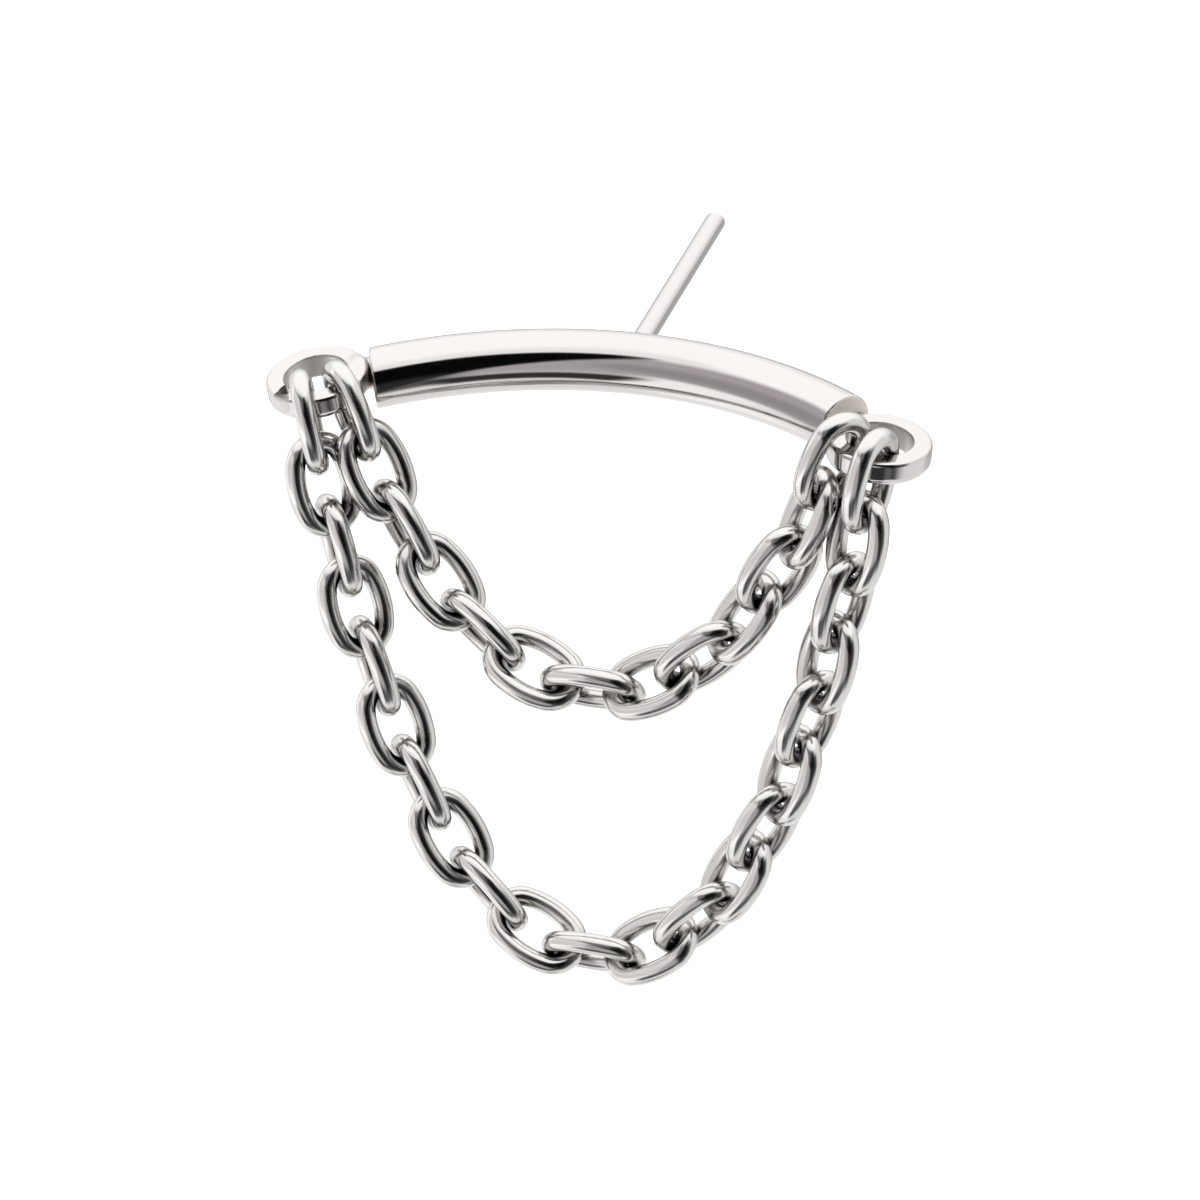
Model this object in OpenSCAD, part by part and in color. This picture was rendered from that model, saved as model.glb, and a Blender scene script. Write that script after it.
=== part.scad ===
// Curved bar end with a push pin, two soldered rings and two hanging swags of oval chain.
// Row frame: millimetres, +X to the wearer's left as seen from the front, +Y to the back, +Z up.
// The origin is on the back of the bar, where the pin leaves it.

/* [Bar] */
// Thickness of the round bar
bar_d = 1.8; // [1.2:0.1:3]
// Bend radius of the bar, to its centre line
bar_bend_r = 13.3; // [8:0.1:30]
// Angle that the whole bend covers
bar_bend_angle = 65; // [20:1:120]
// Small bevel round each flat end of the bar
bar_bevel = 0.06; // [0:0.01:0.2]
// How far the plane of the bend and the pin rise towards the back, in degrees
back_rise = 13.3; // [-10:0.1:40]

/* [Pin] */
// Thickness of the straight pin
pin_d = 0.62; // [0.5:0.01:1.2]
// Free length of the pin behind the bar
pin_free_length = 7.4; // [4:0.1:12]
// Thickness of the pin's root, which stands in the bar
pin_root_d = 0.26; // [0.2:0.01:0.5]
// Where the root ends and the full thickness begins, behind the bar
pin_shoulder = 0.06; // [0.04:0.01:0.3]
// Depth of the pin in its seat in the bar
pin_seat_depth = 1; // [0.4:0.1:1.4]
// Gap between the pin and the wall of its seat
pin_seat_gap = 0.02; // [0.01:0.01:0.1]
// Bevel at the tip of the pin
pin_tip_bevel = 0.08; // [0:0.01:0.2]

/* [Soldered rings] */
// Hole of each ring
ring_hole_d = 1.88; // [1.2:0.01:3]
// Thickness of the ring band from its hole to its outside
ring_wall = 0.545; // [0.3:0.01:1]
// Height of the ring band along the ring's axis
ring_height = 0.76; // [0.4:0.01:1.2]
// Rounding of the outer edges of the band
ring_round = 0.22; // [0.05:0.01:0.35]
// Rounding of the edges round the hole
ring_hole_round = 0.07; // [0.02:0.01:0.2]
// Distance of the left ring's centre beyond the end of the bar
ring_reach_left = 1.63; // [1.2:0.01:2.5]
// Distance of the right ring's centre beyond the end of the bar
ring_reach_right = 1.48; // [1.2:0.01:2.5]
// How far the outer side of each ring hangs down, in degrees
ring_droop = 3.5; // [0:0.5:30]
// Height of the left ring over the middle plane of the bar
ring_lift_left = 0.21; // [-0.4:0.01:0.4]
// Height of the right ring over the middle plane of the bar
ring_lift_right = -0.2; // [-0.4:0.01:0.4]
// Tilt that raises the front of the left ring, in degrees
ring_tilt_left = 0; // [-20:1:20]
// Tilt that raises the front of the right ring, in degrees
ring_tilt_right = 9; // [-20:1:20]
// Thickness of the solder neck between the bar and a ring
neck_d = 0.84; // [0.4:0.01:1.4]
// How deep the neck begins in the end of the bar
neck_root = 0.3; // [0.1:0.05:1]
// How deep the neck ends in the band of the ring
neck_bite = 0.345; // [0.1:0.005:0.5]
// Share of the ring's height over the bar that the neck follows
neck_follow = 0.7; // [0:0.1:1]

/* [Chain links] */
// Wire of each link
link_wire = 0.58; // [0.3:0.01:1]
// Outer length of each link
link_length = 3.18; // [2:0.01:5]
// Bend radius at each end of a link, to the middle of the wire; it sets the link's width
link_end_r = 0.74; // [0.5:0.001:1.5]
// Height over the top of the left ring at which the links hang on it
hook_lift_left = 0.04; // [0:0.005:0.4]
// Height over the top of the right ring at which the links hang on it
hook_lift_right = 0.22; // [0:0.005:0.4]

/* [Inner swag] */
// Number of links in the upper swag
inner_count = 13; // [7:2:25]
// Gap between two of its links where they hang in each other
inner_gap = 0.138; // [0.02:0.001:0.2]
// Place of its first link on the left ring, from the front towards the bar, in degrees
inner_angle_left = -32.5; // [-90:0.5:90]
// Place of its last link on the right ring, from the front towards the bar, in degrees
inner_angle_right = -25; // [-90:0.5:90]
// How far inside the middle of the left ring's band its first link rests
inner_in_left = 0.155; // [0:0.005:0.3]
// How far inside the middle of the right ring's band its last link rests
inner_in_right = 0.135; // [0:0.005:0.3]
// Roll of its odd links at the left, in degrees
inner_roll_left = 45.5; // [-90:0.5:90]
// Roll of its odd links at the bottom of the swag, in degrees
inner_roll_mid = 45; // [-90:0.5:90]
// Roll of its odd links at the right, in degrees
inner_roll_right = 47; // [-90:0.5:90]
// Turn from each link to the next at the left, in degrees
inner_turn_left = 101.5; // [60:0.5:120]
// Turn from each link to the next at the bottom of the swag, in degrees
inner_turn_mid = 89.5; // [60:0.5:120]
// Turn from each link to the next at the right, in degrees
inner_turn_right = 98.5; // [60:0.5:120]
// Roll of its first link, which hangs on the left ring, in degrees
inner_hook_roll_left = 43; // [-90:0.5:90]
// Roll of its last link, which hangs on the right ring, in degrees
inner_hook_roll_right = 37; // [-90:0.5:90]

/* [Outer swag] */
// Number of links in the lower swag
outer_count = 21; // [9:2:31]
// Gap between two of its links where they hang in each other
outer_gap = 0.118; // [0.02:0.001:0.2]
// Place of its first link on the left ring, from the front towards the outside, in degrees
outer_angle_left = 31.5; // [-90:0.5:90]
// Place of its last link on the right ring, from the front towards the outside, in degrees
outer_angle_right = 42; // [-90:0.5:90]
// How far inside the middle of the left ring's band its first link rests
outer_in_left = 0.165; // [0:0.005:0.3]
// How far inside the middle of the right ring's band its last link rests
outer_in_right = 0.085; // [0:0.005:0.3]
// Roll of its odd links at the left, in degrees
outer_roll_left = 36; // [-90:0.5:90]
// Roll of its odd links at the bottom of the swag, in degrees
outer_roll_mid = 43.5; // [-90:0.5:90]
// Roll of its odd links at the right, in degrees
outer_roll_right = 19; // [-90:0.5:90]
// Turn from each link to the next at the left, in degrees
outer_turn_left = 99.5; // [60:0.5:120]
// Turn from each link to the next at the bottom of the swag, in degrees
outer_turn_mid = 93; // [60:0.5:120]
// Turn from each link to the next at the right, in degrees
outer_turn_right = 102.5; // [60:0.5:120]
// Roll of its first link, which hangs on the left ring, in degrees
outer_hook_roll_left = 22.5; // [-90:0.5:90]
// Roll of its last link, which hangs on the right ring, in degrees
outer_hook_roll_right = 15.5; // [-90:0.5:90]

/* [Hidden] */
$fn = 48;
steel = [0.80, 0.79, 0.78];
bar_r = bar_d / 2;
half_bend = bar_bend_angle / 2;
ring_in_r = ring_hole_d / 2;
ring_out_r = ring_in_r + ring_wall;
ring_mid_r = ring_in_r + ring_wall / 2;
overlap = 0.01;

// Link: its bends meet on lines whose slope is that of a 7-24-25 triangle, cut by wedges of this reach
meet_x = 0.28;
meet_y = 0.96;
wedge = 5;
link_inside = link_length - 2 * link_wire;
link_end_x = (link_length - link_wire) / 2 - link_end_r;
link_side_r = link_end_x / meet_x + link_end_r;
link_side_y = link_end_x / meet_x * meet_y;

// Directions of the bar: its pin points to the back and its plane has this normal
back_dir = [0, cos(back_rise), sin(back_rise)];
up_dir = [0, -sin(back_rise), cos(back_rise)];

// Right end of the bar: its place, its direction and the direction across it
end_dir = [cos(half_bend), 0, 0] - sin(half_bend) * back_dir;
end_pos = [bar_bend_r * sin(half_bend), 0, 0] - (bar_r + bar_bend_r * (1 - cos(half_bend))) * back_dir;
end_side = cross(up_dir, end_dir);

// Ring frames: centre, outward, inward-back and up directions, worked out on the right side
function ring_lift(side) = side > 0 ? ring_lift_right : ring_lift_left;
function ring_tilt(side) = side > 0 ? ring_tilt_right : ring_tilt_left;
function flip(v, side) = [side * v[0], v[1], v[2]];
function ring_up0() = cos(ring_droop) * up_dir + sin(ring_droop) * end_dir;
function ring_out(side) = cos(ring_droop) * end_dir - sin(ring_droop) * up_dir;
function ring_up(side) = cos(ring_tilt(side)) * ring_up0() + sin(ring_tilt(side)) * end_side;
function ring_back(side) = cos(ring_tilt(side)) * end_side - sin(ring_tilt(side)) * ring_up0();
function ring_reach(side) = side > 0 ? ring_reach_right : ring_reach_left;
function ring_pos(side) = end_pos + ring_reach(side) * end_dir + ring_lift(side) * up_dir;
function hook_lift(side) = side > 0 ? hook_lift_right : hook_lift_left;
function hook_pos(side, angle, inside) = flip(
    ring_pos(side)
    + (ring_mid_r - inside) * (sin(angle) * ring_out(side) - cos(angle) * ring_back(side))
    + (ring_height / 2 + hook_lift(side)) * ring_up(side), side);

// Swag: each link's slope grows evenly along the chain, as it does in a hanging chain of equal links
function unit(v) = v / norm(v);
function slope(i, n, c) = atan((i - (n - 1) / 2) * c);
function run_to(k, n, c) = k <= 0 ? 0 : run_to(k - 1, n, c) + cos(slope(k - 1, n, c));
function rise_to(k, n, c) = k <= 0 ? 0 : rise_to(k - 1, n, c) + sin(slope(k - 1, n, c));
function solve(n, links, lo, hi, steps) = steps == 0 ? (lo + hi) / 2 :
    run_to(n, n, (lo + hi) / 2) > links ? solve(n, links, (lo + hi) / 2, hi, steps - 1) :
    solve(n, links, lo, (lo + hi) / 2, steps - 1);

inner_pitch = link_inside - inner_gap;
inner_left = hook_pos(-1, inner_angle_left, inner_in_left);
inner_right = hook_pos(1, inner_angle_right, inner_in_right);
inner_bend = solve(inner_count, norm(inner_right - inner_left) / inner_pitch, 0.001, 4, 40);
outer_pitch = link_inside - outer_gap;
outer_left = hook_pos(-1, outer_angle_left, outer_in_left);
outer_right = hook_pos(1, outer_angle_right, outer_in_right);
outer_bend = solve(outer_count, norm(outer_right - outer_left) / outer_pitch, 0.001, 4, 40);

function two(i) = i < 10 ? str("0", i) : str(i);

// Bar in its own frame: bend in the XY plane, back at +Y, ends to the front
module bar_solid() {
    translate([0, -bar_r - bar_bend_r, 0])
    rotate([0, 0, 90 - half_bend])
    rotate_extrude(angle = bar_bend_angle)
    translate([bar_bend_r, 0])
    circle(r = bar_r);
    for (side = [-1, 1])
        translate([0, -bar_r - bar_bend_r, 0])
        rotate([0, 0, -side * half_bend])
        translate([0, bar_bend_r, 0])
        rotate([0, side * 90, 0])
        cylinder(h = bar_bevel, r1 = bar_r, r2 = bar_r - bar_bevel);
}

// Cross-section of a ring band: straight wall at the hole, rounded outside
module ring_profile() {
    h = ring_height / 2;
    r = ring_round;
    q = ring_hole_round;
    translate([ring_in_r + q, -h])
    square([ring_wall - q - r, ring_height]);
    translate([ring_in_r, -h + q])
    square([q + overlap, ring_height - 2 * q]);
    translate([ring_out_r - r - overlap, -h + r])
    square([r + overlap, ring_height - 2 * r]);
    for (z = [-1, 1])
        translate([ring_out_r - r, z * (h - r)])
        circle(r = r);
    for (z = [-1, 1])
        translate([ring_in_r + q, z * (h - q)])
        circle(r = q);
}

module ring_solid() {
    rotate_extrude()
    ring_profile();
}

// Places a piece in a frame given by its centre and its three directions
module placed(p, x, y, z) {
    multmatrix([[x[0], y[0], z[0], p[0]],
        [x[1], y[1], z[1], p[1]],
        [x[2], y[2], z[2], p[2]],
        [0, 0, 0, 1]])
    children();
}

module soldered_ring(side) {
    x = flip(ring_out(side), side);
    z = flip(ring_up(side), side);
    placed(flip(ring_pos(side), side), x, cross(z, x), z)
    ring_solid();
}

// Solder neck from inside the bar's end to the inside of the ring band
module neck(side) {
    a = flip(end_pos - neck_root * end_dir + neck_follow * ring_lift(side) * up_dir, side);
    x = flip(end_dir, side);
    z = flip(up_dir, side);
    placed(a, z, cross(x, z), x)
    cylinder(h = neck_root + ring_reach(side) - ring_out_r + neck_bite, r = neck_d / 2);
}

module curved_bar() {
    color(steel)
    difference() {
        union() {
            rotate([back_rise, 0, 0])
            bar_solid();
            for (side = [-1, 1]) {
                soldered_ring(side);
                neck(side);
            }
        }
        rotate([back_rise - 90, 0, 0])
        translate([0, 0, -pin_seat_depth])
        cylinder(h = pin_seat_depth + 1, r = pin_root_d / 2 + pin_seat_gap);
    }
}

module push_pin() {
    r = pin_d / 2;
    root = pin_root_d / 2;
    color(steel)
    rotate([back_rise - 90, 0, 0])
    rotate_extrude()
    polygon([[0, -pin_seat_depth + pin_seat_gap],
        [root, -pin_seat_depth + pin_seat_gap],
        [root, pin_shoulder / 2],
        [r, pin_shoulder],
        [r, pin_free_length - pin_tip_bevel],
        [r - pin_tip_bevel, pin_free_length],
        [0, pin_free_length]]);
}

// One bend of round wire, cut out of a full ring of wire by a wedge given by its corners
module wire_bend(centre, r, corners) {
    intersection() {
        translate(centre)
        rotate_extrude()
        translate([r, 0])
        circle(d = link_wire);
        linear_extrude(height = 2 * link_wire, center = true)
        polygon(corners);
    }
}

// Oval link of round wire: two end bends and two slack side bends that meet smoothly
module oval_link() {
    for (s = [0, 180])
        rotate([0, 0, s]) {
            wire_bend([link_end_x, 0, 0], link_end_r,
                [[link_end_x, 0],
                [link_end_x + meet_x * wedge, -meet_y * wedge],
                [2 * wedge, -meet_y * wedge],
                [2 * wedge, meet_y * wedge],
                [link_end_x + meet_x * wedge, meet_y * wedge]]);
            wire_bend([0, -link_side_y, 0], link_side_r,
                [[0, -link_side_y],
                [meet_x * wedge, meet_y * wedge - link_side_y],
                [-meet_x * wedge, meet_y * wedge - link_side_y]]);
        }
}

// Value for link i, going evenly from the left over the bottom to the right
function between(values, i, n) = i < (n - 1) / 2 ?
    values[1] + (values[0] - values[1]) * (1 - 2 * i / (n - 1)) :
    values[1] + (values[2] - values[1]) * (2 * i / (n - 1) - 1);

// Link number i (from 0) of a swag of n links hung between two points; own is the roll of the two on the rings
module swag_link(i, n, left, right, c, pitch, roll, turn, own) {
    chord = unit(right - left);
    front = unit(cross([0, 0, 1], chord)) * -1;
    up = cross(front, chord);
    phi = slope(i, n, c);
    along = pitch * (run_to(i, n, c) + cos(phi) / 2);
    drop = pitch * (rise_to(i, n, c) + sin(phi) / 2);
    axis = cos(phi) * chord + sin(phi) * up;
    inward = cos(phi) * up - sin(phi) * chord;
    even = i % 2 == 1 ? 1 : 0;
    b = i == 0 ? own[0] : i == n - 1 ? own[1] : between(roll, i, n) + even * between(turn, i, n);
    wide = cos(b) * front + sin(b) * inward;
    placed(left + along * chord + drop * up, axis, wide, cross(axis, wide))
    oval_link();
}

module inner_link(i) {
    color(steel)
    swag_link(i, inner_count, inner_left, inner_right, inner_bend, inner_pitch,
        [inner_roll_left, inner_roll_mid, inner_roll_right],
        [inner_turn_left, inner_turn_mid, inner_turn_right],
        [inner_hook_roll_left, inner_hook_roll_right]);
}

module outer_link(i) {
    color(steel)
    swag_link(i, outer_count, outer_left, outer_right, outer_bend, outer_pitch,
        [outer_roll_left, outer_roll_mid, outer_roll_right],
        [outer_turn_left, outer_turn_mid, outer_turn_right],
        [outer_hook_roll_left, outer_hook_roll_right]);
}

curved_bar();
push_pin();
for (i = [0:inner_count - 1])
    inner_link(i);
for (i = [0:outer_count - 1])
    outer_link(i);
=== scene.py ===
import math
from collections import namedtuple

import bpy
import numpy as np
from mathutils import Matrix, Vector


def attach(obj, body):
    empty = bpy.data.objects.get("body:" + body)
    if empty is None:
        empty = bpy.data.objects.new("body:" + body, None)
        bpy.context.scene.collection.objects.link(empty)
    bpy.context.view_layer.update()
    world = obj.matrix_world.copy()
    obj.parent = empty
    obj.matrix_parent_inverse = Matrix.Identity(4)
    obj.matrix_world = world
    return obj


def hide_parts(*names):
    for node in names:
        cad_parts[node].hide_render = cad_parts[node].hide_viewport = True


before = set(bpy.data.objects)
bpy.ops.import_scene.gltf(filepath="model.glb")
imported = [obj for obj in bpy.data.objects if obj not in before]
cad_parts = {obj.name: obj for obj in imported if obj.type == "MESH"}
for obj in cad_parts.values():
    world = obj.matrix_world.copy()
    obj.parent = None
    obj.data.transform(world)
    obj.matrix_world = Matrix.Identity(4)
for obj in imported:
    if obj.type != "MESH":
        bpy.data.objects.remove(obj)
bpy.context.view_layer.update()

MM = 0.001

# Directions of the jewel: along the bar's chord, and the rising plane of the bar and the pin
RISE = math.radians(13.3)
RIGHT_WAY = np.array([1.0, 0.0, 0.0])
BACK_WAY = np.array([0.0, math.cos(RISE), math.sin(RISE)])
UP_WAY = np.array([0.0, -math.sin(RISE), math.cos(RISE)])

# Curved bar, in millimetres like all sizes of the jewel; its flat ends stand BAR_BEVEL past the arc
BAR_R = 0.9
BEND_R = 13.3
HALF_BEND = math.radians(32.5)
BAR_BEVEL = 0.06
BAR_EDGE_ROUND = {"left": 0.09, "right": 0.07}
ROW_GAP = 0.01
BAR_ROWS = 181
BAR_SIDES = 96
# The left end is cut about 8 degrees off square: its slope, its shift, and how far along the bar that fades
LEFT_END_LEAN = 0.142
LEFT_END_SHIFT = 0.03
LEFT_END_REACH = 1.5

# Pin: its radius and free length, its thinner root in the bar, its shoulder there, and the bevel of its tip
PIN_R = 0.31
PIN_FREE = 7.4
PIN_ROOT_R = 0.13
PIN_ROOT = 0.98
PIN_SHOULDER = 0.06
PIN_SHOULDER_CUT = 0.03
PIN_BEVEL = 0.08
PIN_ROWS = 40
PIN_SIDES = 48

# Soldered rings: the band, crisp above and rounder below, and how each ring sits on its end of the bar
RING_HOLE_R = 0.94
RING_WALL = 0.545
RING_HEIGHT = 0.76
RING_ROUND_TOP = 0.12
RING_ROUND_LOW = 0.27
RING_HOLE_ROUND = 0.07
RING_REACH = {"right": 1.48, "left": 1.63}
RING_DROOP = math.radians(3.5)
RING_LIFT = {"right": -0.2, "left": 0.21}
RING_TILT = {"right": math.radians(9), "left": 0.0}
# Casting of a ring: the grid, the room round the ring and round the neck's start, the steps that move each
# point onto the skin, and the least squared slope that a step is worked out from
RING_GRID = 0.045
RING_ROOM = 0.2
NECK_ROOM = 0.6
CAST_STEPS = 4
LEAST_SLOPE = 0.2
# How far the satin of the hole stays below the polished edges
SATIN_EDGE = 0.03

# Solder neck from inside the bar's end to the ring, and its flare on the bar's end face
NECK_R = 0.42
NECK_FROM = -0.12
NECK_TO = 0.36
NECK_FOLLOW = 0.7
NECK_FLARE = 0.10
NECK_FLARE_FADE = 0.05
NECK_FILLET = 0.12

# Drop of solder: its place from the middle of the band (to the bar, to the back, up), its half sizes, and
# their rough mean, which turns its own measure into millimetres
SOLDER_PLACE = np.array([0.06, -0.05, 0.03])
SOLDER_HALF = np.array([0.36, 0.58, 0.42])
SOLDER_MEAN = 0.40
SOLDER_OFF_HOLE = 0.02
SOLDER_FILLET = 0.16

# Open seam in the left ring, a wedge: a point of each of its two walls and the way out of it there,
# away from the bar and to the back
SEAM_WALLS = (((0.88, -0.14), (0.686, 0.727)), ((0.88, -0.34), (-0.983, -0.183)))
SEAM_DEPTH = 0.06
SEAM_DEPTH_MORE = 0.30
SEAM_SATIN = 0.02

# Links of round wire that the bending made a little oval
WIRE_R = 0.295
WIRE_R_ACROSS = 0.31
LINK_LENGTH = 3.19
LINK_END_R = 0.74
# Where an end bend runs into a side bend, both face this way: along the link and across it
MEET_ALONG, MEET_ACROSS = 0.28, 0.96
END_ROWS = 33
SIDE_ROWS = 27
WIRE_SIDES = 28

# Camera: the photograph's angle, worked out from the bar, the rings and the chains
VIEW_TURN = math.radians(20.336)
VIEW_TIP = math.radians(21.677)
VIEW_ROLL = math.radians(-1.353)
VIEW_DISTANCE = 137.591
VIEW_RIGHT = -0.8128
VIEW_UP = -6.862
IMAGE_SIDE_PIXELS = 1200
FOCAL_PIXELS = 4755.7
SENSOR_MM = 36.0

# Light tent: its strength, and the brightness of its walls, roof and table and of the dimmer wall behind
TENT_STRENGTH = 1.39
TENT_WALL = 0.80
TENT_ROOF = 1.19
TENT_TABLE = 0.84
TENT_BEHIND = 0.44

# Soft edges in the tent, each as its bearing or height and the half width of its change, in degrees
ROOF_EDGE = (26, 20)
TABLE_EDGE = (-28, 7)
BEHIND_SIDES = (136, 10)
BEHIND_TOP = (8, 7)
BEHIND_FOOT = (-28, 6)
OPENING_SLANT = (6, 4)
OPENING_FOOT = (-45, 9)
OPENING_RIGHT = (58, 13)
LOW_RIGHT_END = (66, 22)

# Cards of the tent, each painted over those before it: brightness, bearings and heights in degrees (bearing 0
# in front of the jewel, 90 on its right), softness of the edges, cover, mauve tint, softness of the top edge
Card = namedtuple("Card", "level left right low high soft cover mauve soft_top", defaults=(1.0, 0.0, None))
TENT_CARDS = (
    # Darkest part of the wall behind, which draws the thin grey line along the edges
    Card(0.27, -175, -145, -32, -12, 6),
    # White side on the left and its lighter foot
    Card(0.90, -118, -62, -45, 24, 9),
    Card(1.08, -118, -74, -66, -44, 6),
    # Right side, with a dark gap in front of it
    Card(0.80, 62, 124, -50, 36, 9),
    Card(0.03, 40, 79, -27, 27, 9, cover=0.9),
    # Table under the jewel, greyer on the left, with the shadow straight below
    Card(0.58, -80, -56, -90, -54, 6),
    Card(0.84, -56, 70, -73, -46, 5),
    Card(0.22, -66, 80, -87, -75, 4),
    # Roof over the opening, a little greyer
    Card(0.95, -56, 40, 34, 60, 9, cover=0.8),
    # Mauve grey cloth left of the opening, darker in its lower half
    Card(0.435, -80, 24, -21, 38, 6, mauve=0.03, soft_top=7),
    Card(0.29, -78, -14, -12, 14, 9, cover=0.8, mauve=0.03),
    # Light strip under the cloth
    Card(1.06, -66, -31, -60, -22, 6),
    Card(0.43, -26, 24, -28, -10, 6, cover=0.8),
    # Dark edge of the table in front
    Card(0.035, -31, 30, -54, -29, 5.5),
)
# Dark opening round the camera and the dark corner on its lower right, which have soft edges of their own too
OPENING = Card(0.003, -38, 90, -90, 42.5, 3.5)
LOW_RIGHT = Card(0.03, 22, 150, -47, -8, 8, cover=0.9)

# Soft boxes for the chains: bearing and height in degrees, width and height in metres, and brightness
SoftBox = namedtuple("SoftBox", "name bearing height wide tall level")
SOFT_BOXES = (
    SoftBox("left_soft_box", -54, 2, 0.40, 0.28, 0.56),
    SoftBox("upper_soft_box", -6, 28, 0.17, 0.12, 0.22),
    SoftBox("lower_soft_box", 22, -42, 0.24, 0.07, 0.08),
)
SOFT_BOX_DISTANCE = 0.25
CHAIN_MIDDLE = Vector((0.0, 0.0, -0.013))

# White table sheet, in metres
SHEET_HALF = 4.0
SHEET_HEIGHT = -0.16

# Finish that all the steel shares: the painted shade and residue in the joints, from full to none as a joint
# opens, the patches of film and the height of the marks
JOINT_SHADE_AND_RESIDUE = "3A3735"
JOINT_SHADE_AND_RESIDUE_RANGE = (0.22, 0.58)
FILM_MM = 1.2
MARK_HEIGHT_MM = 0.0008


def from_hex(code):
    """Linear colour of an sRGB hex value."""
    parts = [int(code[i:i + 2], 16) / 255 for i in (0, 2, 4)]
    return tuple(c / 12.92 if c <= 0.04045 else ((c + 0.055) / 1.055) ** 2.4 for c in parts) + (1.0,)


def add(tree, kind, settings=None, sockets=None):
    """Adds a node, gives it its settings, and fills or links its input sockets."""
    made = tree.nodes.new(kind)
    for name, value in (settings or {}).items():
        setattr(made, name, value)
    for name, value in (sockets or {}).items():
        if isinstance(value, bpy.types.NodeSocket):
            tree.links.new(value, made.inputs[name])
        else:
            made.inputs[name].default_value = value
    return made


def aim_camera():
    away = np.array([math.sin(VIEW_TURN) * math.cos(VIEW_TIP), -math.cos(VIEW_TURN) * math.cos(VIEW_TIP),
                     math.sin(VIEW_TIP)])
    side = np.array([math.cos(VIEW_TURN), math.sin(VIEW_TURN), 0.0])
    top = np.cross(away, side)
    across = math.cos(VIEW_ROLL) * side + math.sin(VIEW_ROLL) * top
    upward = -math.sin(VIEW_ROLL) * side + math.cos(VIEW_ROLL) * top
    # The view was measured from the middle line of the bar
    place = VIEW_DISTANCE * away + VIEW_RIGHT * across + VIEW_UP * upward - BAR_R * BACK_WAY
    lens = bpy.data.cameras.new("photo_view")
    lens.sensor_width = SENSOR_MM
    lens.lens = SENSOR_MM * FOCAL_PIXELS / IMAGE_SIDE_PIXELS
    lens.clip_start = 0.005
    lens.clip_end = 50.0
    camera = bpy.data.objects.new("photo_view", lens)
    turned = Matrix([list(r) for r in np.column_stack([across, upward, away])]).to_4x4()
    camera.matrix_world = Matrix.Translation(Vector(place * MM)) @ turned
    bpy.context.scene.collection.objects.link(camera)
    bpy.context.scene.camera = camera
    bpy.context.scene.view_settings.view_transform = "Standard"


# Light tent: a white tent with a dark opening in front, where the camera stands
def light_tent():
    world = bpy.data.worlds.new("light_tent")
    bpy.context.scene.world = world
    world.use_nodes = True
    # Everything here is a mirror, so the tent is found by the reflections alone
    world.cycles.sampling_method = "NONE"
    tree = world.node_tree
    tree.nodes.clear()

    def maths(kind, a, b=0.0):
        return add(tree, "ShaderNodeMath", {"operation": kind}, {0: a, 1: b}).outputs[0]

    # Bearing round the jewel and height, in degrees
    where = add(tree, "ShaderNodeTexCoord")
    parts = add(tree, "ShaderNodeSeparateXYZ", sockets={0: where.outputs["Generated"]})
    frontward = maths("MULTIPLY", parts.outputs["Y"], -1.0)
    bearing = maths("DEGREES", maths("ARCTAN2", parts.outputs["X"], frontward))
    height = maths("DEGREES", maths("ARCSINE", parts.outputs["Z"]))

    def above(value, edge, soft):
        """0 below the edge and 1 above it, with a soft change between."""
        return add(tree, "ShaderNodeMapRange", {"interpolation_type": "SMOOTHSTEP"},
                   {"Value": value, "From Min": edge - soft, "From Max": edge + soft,
                    "To Min": 0.0, "To Max": 1.0}).outputs[0]

    def below(value, edge, soft):
        return maths("SUBTRACT", 1.0, above(value, edge, soft))

    def both(a, b):
        return maths("MULTIPLY", a, b)

    def shape_of(card):
        """Mask of a card between its two bearings and its two heights."""
        across = both(above(bearing, card.left, card.soft), below(bearing, card.right, card.soft))
        tall = both(above(height, card.low, card.soft), below(height, card.high, card.soft_top or card.soft))
        return both(across, tall)

    def paint(under, colour, mask, cover=1.0):
        # Sockets 6 and 7 are the two colours
        return add(tree, "ShaderNodeMix", {"data_type": "RGBA"},
                   {0: maths("MULTIPLY", mask, cover), 6: under, 7: colour}).outputs[2]

    def grey(level, mauve=0.0):
        return (level * (1 + mauve), level * (1 - mauve), level, 1.0)

    # Walls, brighter roof, and the table all round
    colour = paint(grey(TENT_WALL), grey(TENT_ROOF), above(height, *ROOF_EDGE))
    colour = paint(grey(TENT_TABLE), colour, above(height, *TABLE_EDGE))
    # Dimmer wall behind the jewel
    behind = both(above(maths("ABSOLUTE", bearing), *BEHIND_SIDES), below(height, *BEHIND_TOP))
    colour = paint(colour, grey(TENT_BEHIND), both(behind, above(height, *BEHIND_FOOT)))
    for card in TENT_CARDS:
        colour = paint(colour, grey(card.level, card.mauve), shape_of(card), card.cover)
    # The opening's lower left edge is slanted
    slant = above(maths("ADD", bearing, height), *OPENING_SLANT)
    ends = both(above(height, *OPENING_FOOT), below(bearing, *OPENING_RIGHT))
    colour = paint(colour, grey(OPENING.level), both(both(shape_of(OPENING), slant), ends))
    low_right = both(shape_of(LOW_RIGHT), below(bearing, *LOW_RIGHT_END))
    colour = paint(colour, grey(LOW_RIGHT.level), low_right, LOW_RIGHT.cover)

    lit = add(tree, "ShaderNodeBackground", sockets={"Color": colour, "Strength": TENT_STRENGTH})
    plain = add(tree, "ShaderNodeBackground", sockets={"Color": (1.0, 1.0, 1.0, 1.0), "Strength": 1.0})
    ray = add(tree, "ShaderNodeLightPath")
    pick = add(tree, "ShaderNodeMixShader", sockets={0: ray.outputs["Is Camera Ray"], 1: lit.outputs[0],
                                                     2: plain.outputs[0]})
    add(tree, "ShaderNodeOutputWorld", sockets={0: pick.outputs[0]})


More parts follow.
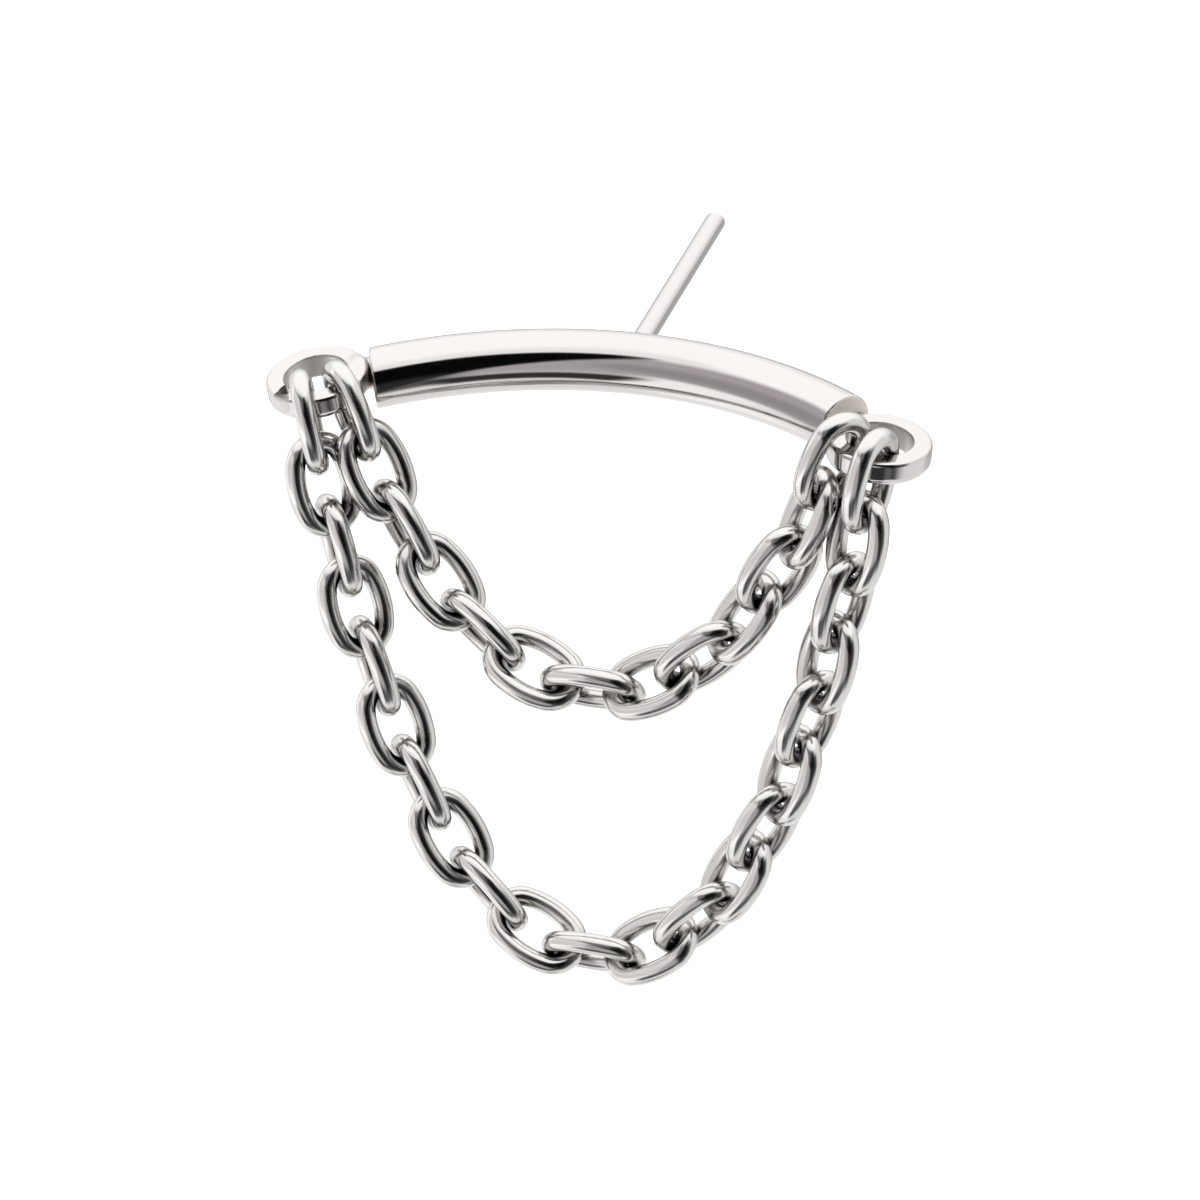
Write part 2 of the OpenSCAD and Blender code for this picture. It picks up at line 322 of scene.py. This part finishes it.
# Soft boxes for the chains alone, which hang below the cloth and the dark table edge that the bar reflects
def chain_light(pieces):
    lit = bpy.data.collections.new("lit_by_soft_boxes")
    for piece in pieces:
        lit.objects.link(piece)
    for plan in SOFT_BOXES:
        box = bpy.data.lights.new(plan.name, "AREA")
        box.shape = "RECTANGLE"
        box.size, box.size_y = plan.wide, plan.tall
        # Energy at which the box's face has its brightness
        box.energy = plan.level * math.pi * plan.wide * plan.tall
        lamp = bpy.data.objects.new(plan.name, box)
        b, h = math.radians(plan.bearing), math.radians(plan.height)
        way = Vector((math.sin(b) * math.cos(h), -math.cos(b) * math.cos(h), math.sin(h)))
        lamp.location = CHAIN_MIDDLE + SOFT_BOX_DISTANCE * way
        lamp.rotation_euler = way.to_track_quat("Z", "Y").to_euler()
        bpy.context.scene.collection.objects.link(lamp)
        lamp.light_linking.receiver_collection = lit


# Matt white sheet of the table, far under the hanging chains
def table_sheet():
    paper = bpy.data.materials.new("matt_white_card")
    paper.use_nodes = True
    shader = paper.node_tree.nodes["Principled BSDF"]
    shader.inputs["Base Color"].default_value = from_hex("F7F7F7")
    shader.inputs["Roughness"].default_value = 0.9
    shader.inputs["Emission Color"].default_value = (1.0, 1.0, 1.0, 1.0)
    shader.inputs["Emission Strength"].default_value = 0.35
    corners = [(x * SHEET_HALF, y * SHEET_HALF, SHEET_HEIGHT)
               for x, y in ((-1, -1), (1, -1), (1, 1), (-1, 1))]
    sheet = bpy.data.meshes.new("floor")
    sheet.from_pydata(corners, [], [(0, 1, 2, 3)])
    sheet.materials.append(paper)
    floor = bpy.data.objects.new("floor", sheet)
    bpy.context.scene.collection.objects.link(floor)
    floor.visible_glossy = False
    floor.visible_shadow = False


def polished_steel(name, tint, roughness, marks_mm, marks_depth, streak, shade_and_residue_mm=0.0):
    """Bare steel with marks marks_mm wide and streak times as long, a thin film, and painted shade with
    residue in its joints.

    Real polishing marks are 0.001 to 0.005 mm wide, too fine to show, so they are drawn 0.02 to 0.05 mm wide.
    """
    steel = bpy.data.materials.new(name)
    steel.use_nodes = True
    tree = steel.node_tree
    shader = tree.nodes["Principled BSDF"]
    shader.inputs["Metallic"].default_value = 1.0
    shader.inputs["Base Color"].default_value = from_hex(tint)
    if shade_and_residue_mm:
        # Painted shade with dark polishing residue in the joints: the colour darkens where other metal closes
        # in round the steel, and the residue stays where the wheel and the cloth don't reach
        nook = add(tree, "ShaderNodeAmbientOcclusion", {"samples": 8}, {"Distance": shade_and_residue_mm * MM})
        unshaded = add(tree, "ShaderNodeMapRange", {"interpolation_type": "SMOOTHSTEP"},
                    {"Value": nook.outputs["AO"], "From Min": JOINT_SHADE_AND_RESIDUE_RANGE[0], "From Max": JOINT_SHADE_AND_RESIDUE_RANGE[1],
                     "To Min": 0.0, "To Max": 1.0})
        cover = add(tree, "ShaderNodeMix", {"data_type": "RGBA"},
                    {0: unshaded.outputs[0], 6: from_hex(JOINT_SHADE_AND_RESIDUE), 7: from_hex(tint)})
        tree.links.new(cover.outputs[2], shader.inputs["Base Color"])
    place = add(tree, "ShaderNodeTexCoord")
    # Marks run along the first direction of the rolled-out surface
    lay = add(tree, "ShaderNodeMapping", sockets={"Vector": place.outputs["UV"],
                                                  "Scale": (1 / (marks_mm * streak), 1 / marks_mm, 1.0)})
    marks = add(tree, "ShaderNodeTexNoise", {"noise_dimensions": "2D"},
                {"Vector": lay.outputs[0], "Scale": 1.0, "Detail": 3.0, "Roughness": 0.6})
    # Film and tiny handling wear, in patches
    film = add(tree, "ShaderNodeTexNoise",
               sockets={"Vector": place.outputs["Object"], "Scale": 1 / (FILM_MM * MM), "Detail": 4.0,
                        "Roughness": 0.55})
    gloss = add(tree, "ShaderNodeMapRange",
                sockets={"Value": film.outputs["Fac"], "From Min": 0.3, "From Max": 0.75,
                         "To Min": roughness * 0.8, "To Max": roughness * 1.35})
    grain = add(tree, "ShaderNodeMapRange",
                sockets={"Value": marks.outputs["Fac"], "From Min": 0.35, "From Max": 0.8,
                         "To Min": 0.0, "To Max": roughness * 0.5})
    rough = add(tree, "ShaderNodeMath", {"operation": "ADD"}, {0: gloss.outputs[0], 1: grain.outputs[0]})
    bump = add(tree, "ShaderNodeBump", sockets={"Strength": marks_depth, "Distance": MARK_HEIGHT_MM * MM,
                                                "Height": marks.outputs["Fac"]})
    tree.links.new(rough.outputs[0], shader.inputs["Roughness"])
    tree.links.new(bump.outputs[0], shader.inputs["Normal"])
    return steel


def finished(name, mesh, materials, slot, *nodes):
    """Puts a mesh on the jewel: its materials, its body and the solids it stands for; the slot is not used.
    """
    for material in materials:
        mesh.materials.append(material)
    piece = bpy.data.objects.new(name, mesh)
    bpy.context.scene.collection.objects.link(piece)
    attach(piece, "root")
    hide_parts(*nodes)
    return piece


def whole_turn(sides):
    """Angles round a section, with the first one again at the end."""
    return np.linspace(0, 2 * math.pi, sides + 1)


def woven_mesh(name, points, flat, closed_rows, lid_finish=0):
    """Mesh from round rows of points in millimetres; flat gives each point's place on the rolled-out surface.

    Rows that don't close on the first one get a flat lid at each end, with corners and a finish of its own.
    """
    rows, columns = points.shape[:2]
    verts = [tuple(p) for p in (points.reshape(-1, 3) * MM)]
    faces, places = [], []
    for i in range(rows if closed_rows else rows - 1):
        for j in range(columns):
            a, b = i, (i + 1) % rows
            c, d = j, (j + 1) % columns
            faces.append((a * columns + c, b * columns + c, b * columns + d, a * columns + d))
            u0, u1 = flat[0][i], flat[0][i + 1]
            v0, v1 = flat[1][j], flat[1][j + 1]
            places += [(u0, v0), (u1, v0), (u1, v1), (u0, v1)]
    smooth = [True] * len(faces)
    # A lid lies flat beside the rolled-out surface, as a circle of about its own radius
    lid_r = flat[1][-1] / 6
    lids = () if closed_rows else ((0, True), (rows - 1, False))
    for row, first in lids:
        lid = list(range(len(verts), len(verts) + columns))
        verts += [tuple(p) for p in (points[row] * MM)]
        faces.append(lid if first else lid[::-1])
        smooth.append(False)
        ring = [(math.cos(t) * lid_r, math.sin(t) * lid_r) for t in whole_turn(columns)[:-1]]
        places += ring if first else ring[::-1]
    mesh = bpy.data.meshes.new(name)
    mesh.from_pydata(verts, [], faces)
    layer = mesh.uv_layers.new(name="rolled_out")
    layer.data.foreach_set("uv", np.array(places, dtype=np.float32).ravel())
    mesh.polygons.foreach_set("use_smooth", smooth)
    mesh.polygons.foreach_set("material_index", [0 if s else lid_finish for s in smooth])
    mesh.update()
    return mesh


# Curved round bar; the edges of its ends were softened by polishing
def bar_mesh():
    def rounding(side):
        """Places along and below the surface of the rounded edge of an end."""
        radius = BAR_EDGE_ROUND[side]
        return [(BAR_BEVEL - radius + radius * math.sin(a), radius * (1 - math.cos(a)))
                for a in np.radians([0, 12, 25, 38, 50, 62, 74, 84])]

    def cut(side):
        """Angle of the bend that the rounded edge takes up."""
        return (BAR_EDGE_ROUND[side] + ROW_GAP - BAR_BEVEL) / BEND_R

    bend = np.linspace(-HALF_BEND + cut("left"), HALF_BEND - cut("right"), BAR_ROWS)
    stations = [(-HALF_BEND, -along, BAR_R - inset) for along, inset in reversed(rounding("left"))]
    stations += [(t, 0.0, BAR_R) for t in bend]
    stations += [(HALF_BEND, along, BAR_R - inset) for along, inset in rounding("right")]
    around = whole_turn(BAR_SIDES)
    rows = []
    for t, s, r in stations:
        row = []
        near_end = max(0.0, 1 - (t + HALF_BEND) * BEND_R / LEFT_END_REACH)
        for a in around[:-1]:
            turned = t + near_end * (LEFT_END_LEAN * r * math.cos(a) + LEFT_END_SHIFT) / BEND_R
            out = math.sin(turned) * RIGHT_WAY + math.cos(turned) * BACK_WAY
            along = math.cos(turned) * RIGHT_WAY - math.sin(turned) * BACK_WAY
            middle = BEND_R * out - (BEND_R + BAR_R) * BACK_WAY + s * along
            row.append(middle + r * (math.cos(a) * out - math.sin(a) * UP_WAY))
        rows.append(row)
    flat = (np.array([t * BEND_R + s for t, s, r in stations]), around * BAR_R)
    return woven_mesh("bar", np.array(rows), flat, False, 1)


# Straight pin with a bevelled tip
def pin_mesh():
    profile = [(-PIN_ROOT, PIN_ROOT_R), (PIN_SHOULDER - PIN_SHOULDER_CUT, PIN_ROOT_R),
               (PIN_SHOULDER - ROW_GAP, PIN_R - PIN_SHOULDER_CUT)]
    profile += [(s, PIN_R) for s in np.linspace(PIN_SHOULDER, PIN_FREE - PIN_BEVEL - 2 * ROW_GAP, PIN_ROWS)]
    profile += [(PIN_FREE - PIN_BEVEL * (1 - math.sin(a)), PIN_R - PIN_BEVEL * (1 - math.cos(a)))
                for a in np.radians([0, 15, 30, 45, 60, 75, 90])]
    around = whole_turn(PIN_SIDES)
    rows = np.array([[BACK_WAY * s + r * (math.cos(a) * RIGHT_WAY + math.sin(a) * UP_WAY)
                      for a in around[:-1]] for s, r in profile])
    flat = (np.array([s for s, r in profile]), around * PIN_R)
    return woven_mesh("pin", rows, flat, False)


def smooth_least(a, b, blend):
    """Joins two shapes' distances with a fillet of about that size."""
    share = np.clip(0.5 + 0.5 * (b - a) / blend, 0, 1)
    return b + (a - b) * share - blend * share * (1 - share)


# Soldered ring: the round band, its neck to the bar's end, the drop of solder there and the open seam
class SolderedRing:
    def __init__(self, side):
        mirror = np.array([1.0 if side == "right" else -1.0, 1.0, 1.0])
        end_way = math.cos(HALF_BEND) * RIGHT_WAY - math.sin(HALF_BEND) * BACK_WAY
        end_back = BAR_R + BEND_R * (1 - math.cos(HALF_BEND))
        end = BEND_R * math.sin(HALF_BEND) * RIGHT_WAY - end_back * BACK_WAY
        across = np.cross(UP_WAY, end_way)
        up = math.cos(RING_DROOP) * UP_WAY + math.sin(RING_DROOP) * end_way
        tilt, lift, reach = RING_TILT[side], RING_LIFT[side], RING_REACH[side]
        self.up = (math.cos(tilt) * up + math.sin(tilt) * across) * mirror
        self.centre = (end + reach * end_way + lift * UP_WAY) * mirror
        self.end_way = end_way * mirror
        self.start = (end + NECK_FOLLOW * lift * UP_WAY) * mirror
        self.to_bar = -self.end_way + (self.end_way @ self.up) * self.up
        self.to_bar /= np.linalg.norm(self.to_bar)
        self.to_back = np.cross(self.up, self.to_bar)
        self.to_back *= math.copysign(1.0, self.to_back[1])
        self.has_seam = side == "left"

    def own_place(self, p):
        """Places from the ring's centre: to the bar, to the back, up, and away from the ring's axis."""
        d = p - self.centre
        z = d @ self.up
        return d @ self.to_bar, d @ self.to_back, z, np.linalg.norm(d - z[..., None] * self.up, axis=-1)

    def from_seam(self, x, y):
        """Distance from the wedge of the open seam, seen from above: below 0 inside it."""
        walls = [(-x - place[0]) * way[0] + (y - place[1]) * way[1] for place, way in SEAM_WALLS]
        return np.maximum(*walls)

    def distance(self, p):
        """Signed distance to the metal, in millimetres."""
        x, y, z, rho = self.own_place(p)
        middle = RING_HOLE_R + RING_WALL / 2
        outer = np.where(z > 0, RING_ROUND_TOP, RING_ROUND_LOW)
        corner = np.where(rho > middle, outer, RING_HOLE_ROUND)
        dx = np.abs(rho - middle) - (RING_WALL / 2 - corner)
        dz = np.abs(z) - (RING_HEIGHT / 2 - corner)
        band = np.hypot(np.maximum(dx, 0), np.maximum(dz, 0)) + np.minimum(np.maximum(dx, dz), 0) - corner
        if self.has_seam:
            # The wedge is sunk into the top and deepest at the hole
            inward = np.clip((RING_HOLE_R + RING_WALL - rho) / RING_WALL, 0, 1)
            floor = RING_HEIGHT / 2 - SEAM_DEPTH - SEAM_DEPTH_MORE * inward
            band = np.maximum(band, -np.maximum(self.from_seam(x, y), floor - z))
        # The solder is a flattened drop on the band where it faces the bar, kept out of the hole
        drop = (np.stack([x - middle, y, z], axis=-1) - SOLDER_PLACE) / SOLDER_HALF
        lump = (np.linalg.norm(drop, axis=-1) - 1) * SOLDER_MEAN
        lump = np.maximum(lump, RING_HOLE_R + SOLDER_OFF_HOLE - rho)
        e = p - self.start
        s = e @ self.end_way
        r = np.linalg.norm(e - s[..., None] * self.end_way, axis=-1)
        flare = NECK_R + NECK_FLARE * np.exp(-np.maximum(s - NECK_FLARE_FADE, 0) / NECK_FLARE_FADE)
        neck = np.maximum(r - flare, np.maximum(NECK_FROM - s, s - NECK_TO))
        return smooth_least(smooth_least(band, lump, SOLDER_FILLET), neck, NECK_FILLET)


def slope_at(shape, points, step=1e-4):
    """Slope of a shape's distance along each axis, from a small step to both sides."""
    steps = step * np.eye(3)
    return np.stack([(shape.distance(points + s) - shape.distance(points - s)) / (2 * step) for s in steps],
                    axis=-1)


def cast_mesh(name, shape, low, high, pitch):
    """Closed mesh of a distance shape: a point in each grid cell that its skin crosses, moved onto it."""
    axes = [np.arange(low[k], high[k] + pitch, pitch) for k in range(3)]
    field = shape.distance(np.stack(np.meshgrid(*axes, indexing="ij"), axis=-1))
    inside = field < 0
    n = [len(a) - 1 for a in axes]
    # Each cell's point is the mean of the places where the skin cuts the cell's edges
    total = np.zeros(n + [3])
    count = np.zeros(n)
    corners = [(i, j, k) for i in (0, 1) for j in (0, 1) for k in (0, 1)]
    for a in corners:
        for b in corners:
            if sum(b) - sum(a) == 1 and all(y >= x for x, y in zip(a, b)):
                fa = field[a[0]:n[0] + a[0], a[1]:n[1] + a[1], a[2]:n[2] + a[2]]
                fb = field[b[0]:n[0] + b[0], b[1]:n[1] + b[1], b[2]:n[2] + b[2]]
                cut = (fa < 0) != (fb < 0)
                share = np.where(cut, fa / np.where(cut, fa - fb, 1.0), 0.0)
                spot = np.array(a) + share[..., None] * (np.array(b) - np.array(a))
                total += np.where(cut[..., None], spot, 0.0)
                count += cut
    used = count > 0
    number = -np.ones(n, dtype=int)
    number[used] = np.arange(used.sum())
    points = np.asarray(low) + (np.argwhere(used) + total[used] / count[used][:, None]) * pitch
    for _ in range(CAST_STEPS):
        g = slope_at(shape, points)
        share = shape.distance(points) / np.maximum((g ** 2).sum(axis=1), LEAST_SLOPE)
        points = points - share[:, None] * g
    # One face for each grid edge that the skin cuts, through the points of the four cells beside it
    faces = []
    for k in range(3):
        u, v = [m for m in range(3) if m != k]
        a = [slice(0, n[0] + 1), slice(0, n[1] + 1), slice(0, n[2] + 1)]
        b = list(a)
        a[k], b[k] = slice(0, n[k]), slice(1, n[k] + 1)
        cut = inside[tuple(a)] != inside[tuple(b)]
        for spot in np.argwhere(cut):
            if spot[u] == 0 or spot[v] == 0 or spot[u] >= n[u] or spot[v] >= n[v]:
                continue
            ring = []
            for du, dv in ((-1, -1), (0, -1), (0, 0), (-1, 0)):
                cell = spot.copy()
                cell[u] += du
                cell[v] += dv
                ring.append(int(number[tuple(cell)]))
            outward = inside[tuple(spot)]
            if (k == 1) == bool(outward):
                ring.reverse()
            faces.append(ring)
    mesh = bpy.data.meshes.new(name)
    mesh.from_pydata([tuple(p) for p in points * MM], [], faces)
    mesh.polygons.foreach_set("use_smooth", [True] * len(mesh.polygons))
    mesh.update()
    g = slope_at(shape, points)
    mesh.normals_split_custom_set_from_vertices([tuple(v) for v in g / np.linalg.norm(g, axis=1)[:, None]])
    return mesh


def ring_mesh(side):
    shape = SolderedRing(side)
    reach = RING_HOLE_R + RING_WALL + RING_ROOM
    low = np.minimum(shape.centre - reach, shape.start - NECK_ROOM)
    high = np.maximum(shape.centre + reach, shape.start + NECK_ROOM)
    mesh = cast_mesh("ring_" + side, shape, low, high, RING_GRID)
    # Marks run round the band: first the way round, then the height and depth on it
    co = np.array([v.co for v in mesh.vertices]) / MM
    x, y, z, rho = shape.own_place(co)
    sideways = (co - shape.centre) @ np.cross(shape.up, -shape.to_bar)
    round_way = np.arctan2(sideways, -x) * (RING_HOLE_R + RING_WALL / 2)
    corners = np.array([loop.vertex_index for loop in mesh.loops])
    layer = mesh.uv_layers.new(name="rolled_out")
    places = np.column_stack([round_way, z + rho])[corners]
    layer.data.foreach_set("uv", places.astype(np.float32).ravel())
    # The wall of the hole keeps the satin of the mandrel that the ring was bent on; so does the open seam
    x, y, z, rho = shape.own_place(np.array([f.center for f in mesh.polygons]) / MM)
    satin = (rho < RING_HOLE_R + SATIN_EDGE) & (np.abs(z) < RING_HEIGHT / 2 - SATIN_EDGE)
    if shape.has_seam:
        in_seam = shape.from_seam(x, y) < SEAM_SATIN
        satin |= in_seam & (z < RING_HEIGHT / 2 - SATIN_EDGE) & (z > -SEAM_SATIN)
    mesh.polygons.foreach_set("material_index", satin.astype(int))
    return mesh


def link_place(name):
    """Centre, long way and wide way of a link, from its solid in the frame."""
    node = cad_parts[name]
    mesh = node.data
    mesh.calc_loop_triangles()
    co = np.array([node.matrix_world @ v.co for v in mesh.vertices]) / MM
    tri = np.array([t.vertices[:] for t in mesh.loop_triangles])
    a, b, c = co[tri[:, 0]], co[tri[:, 1]], co[tri[:, 2]]
    area = np.linalg.norm(np.cross(b - a, c - a), axis=1)
    middle = (a + b + c) / 3
    centre = (middle * area[:, None]).sum(axis=0) / area.sum()
    d = middle - centre
    spread = (d * area[:, None]).T @ d
    ways = np.linalg.eigh(spread)[1]
    return centre, ways[:, 2], ways[:, 1]


# Oval link: two end bends and two slack side bends
def link_mesh(name):
    centre, long_way, wide_way = link_place(name)
    flat_way = np.cross(long_way, wide_way)
    end_x = LINK_LENGTH / 2 - WIRE_R - LINK_END_R
    turn = math.atan2(MEET_ACROSS, MEET_ALONG)
    side_r, side_y = end_x / MEET_ALONG + LINK_END_R, end_x / MEET_ALONG * MEET_ACROSS
    half = []
    for t in np.linspace(-turn, turn, END_ROWS + 1)[:-1]:
        half.append((end_x + LINK_END_R * math.cos(t), LINK_END_R * math.sin(t), math.cos(t), math.sin(t)))
    for t in np.linspace(turn, math.pi - turn, SIDE_ROWS + 1)[:-1]:
        half.append((side_r * math.cos(t), side_r * math.sin(t) - side_y, math.cos(t), math.sin(t)))
    line = np.array(half + [(-x, -y, -c, -s) for x, y, c, s in half])
    around = whole_turn(WIRE_SIDES)
    rows = []
    for x, y, c, s in line:
        out = c * long_way + s * wide_way
        middle = centre + x * long_way + y * wide_way
        rows.append([middle + WIRE_R * math.cos(a) * out + WIRE_R_ACROSS * math.sin(a) * flat_way
                     for a in around[:-1]])
    steps = np.linalg.norm(np.diff(np.vstack([line[:, :2], line[:1, :2]]), axis=0), axis=1)
    flat = (np.concatenate([[0], np.cumsum(steps)]), around * WIRE_R)
    return woven_mesh(name, np.array(rows), flat, True)


aim_camera()
light_tent()
table_sheet()

# Bar: a near mirror, with sharp bands of the tent that long fine wheel marks just break up
bar_steel = polished_steel("mirror_polished_surgical_steel", "C8C4C2", roughness=0.06,
                           marks_mm=0.03, marks_depth=0.25, streak=40)
# Rings: polished by hand, so their reflections are a touch softer, with dark residue and painted shade where
# they meet the bar
ring_steel = polished_steel("hand_polished_surgical_steel", "C8C4C2", roughness=0.07,
                            marks_mm=0.03, marks_depth=0.3, streak=20, shade_and_residue_mm=0.3)
# The bar's end faces: ground flat and not polished, an even warm grey without a reflection
face_steel = polished_steel("fine_ground_surgical_steel", "E6E0DA", roughness=0.42,
                            marks_mm=0.05, marks_depth=0.6, streak=6)
# Inside of the rings and the open seam: a soft grey sheen that turns from light to dark round the wall
hole_steel = polished_steel("satin_bent_surgical_steel", "D0CCC8", roughness=0.34,
                            marks_mm=0.04, marks_depth=0.5, streak=8)
# Pin: drawn wire, a softened mirror with lengthwise lines of the die
pin_steel = polished_steel("drawn_surgical_steel_wire", "C5C2C1", roughness=0.13,
                           marks_mm=0.02, marks_depth=0.5, streak=60)
# Chains: tumbled, so the bands have soft edges and short marks, and the joints are nearly black with painted
# shade and residue
chain_steel = polished_steel("tumble_polished_steel_wire", "C9C7C4", roughness=0.14,
                             marks_mm=0.025, marks_depth=0.35, streak=12, shade_and_residue_mm=0.40)

finished("bar", bar_mesh(), [bar_steel, face_steel], "bar", "curved_bar")
for side in ("left", "right"):
    finished("soldered_ring_" + side, ring_mesh(side), [ring_steel, hole_steel], "bar", "curved_bar")
finished("pin", pin_mesh(), [pin_steel], "pin", "push_pin")
chain_light([finished("wire_" + name, link_mesh(name), [chain_steel], "chain", name)
             for name in sorted(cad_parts) if "_link_" in name])
